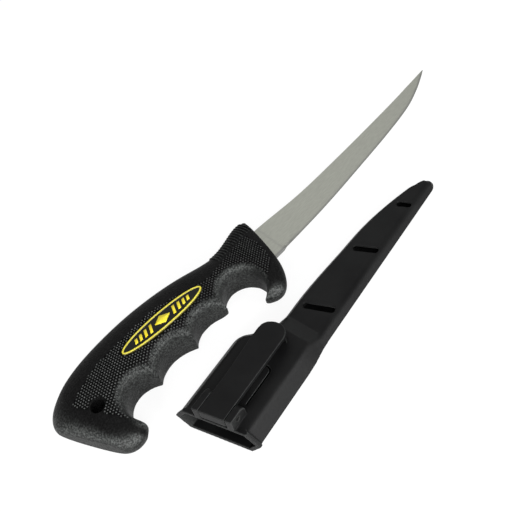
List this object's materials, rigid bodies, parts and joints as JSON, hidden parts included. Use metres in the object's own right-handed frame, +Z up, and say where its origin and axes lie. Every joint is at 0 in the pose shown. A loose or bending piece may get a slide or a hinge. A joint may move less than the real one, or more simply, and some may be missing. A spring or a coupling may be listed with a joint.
{
  "type": "fillet knife with sheath",
  "caption": "Narrow flexible fillet blade in a soft moulded finger-groove handle, lying beside its hollow sheath with a sprung belt clip.",
  "frame": {"origin": "on the table, under the middle of the box round the knife and the sheath", "axes": "+X along the knife towards its point, +Y towards the back of the blade, +Z up from the table"},
  "size_m": [0.2885, 0.0951, 0.0215],
  "materials": {
    "steel": "satin ground",
    "core_plastic": "moulded",
    "grip_rubber": "dotted and sandblasted matte",
    "badge_black": "satin",
    "badge_yellow": "painted",
    "sheath_plastic": "fine matte",
    "pin_metal": "blackened"
  },
  "bodies": {
    "knife": {"blade": "steel", "handle_core": "core_plastic", "grip": "grip_rubber", "badge_plate": "badge_black", "badge_rim": "badge_yellow"},
    "sheath": {"sheath_body": "sheath_plastic", "clip_pin": "pin_metal"},
    "clip": {"belt_clip": "sheath_plastic"}
  },
  "joints": [
    {"name": "sheath_draw", "type": "slide", "parent": "knife", "child": "sheath", "axis": [-0.9925, -0.1219, 0], "range_m": [0, 0.1524]},
    {"name": "clip_hinge", "type": "hinge", "parent": "sheath", "child": "clip", "pos_m": [-0.09476, -0.02763, 0.0184], "axis": [0.1219, -0.9925, 0], "range_deg": [0, 7], "stiffness_Nm_per_rad": 0.55}
  ]
}
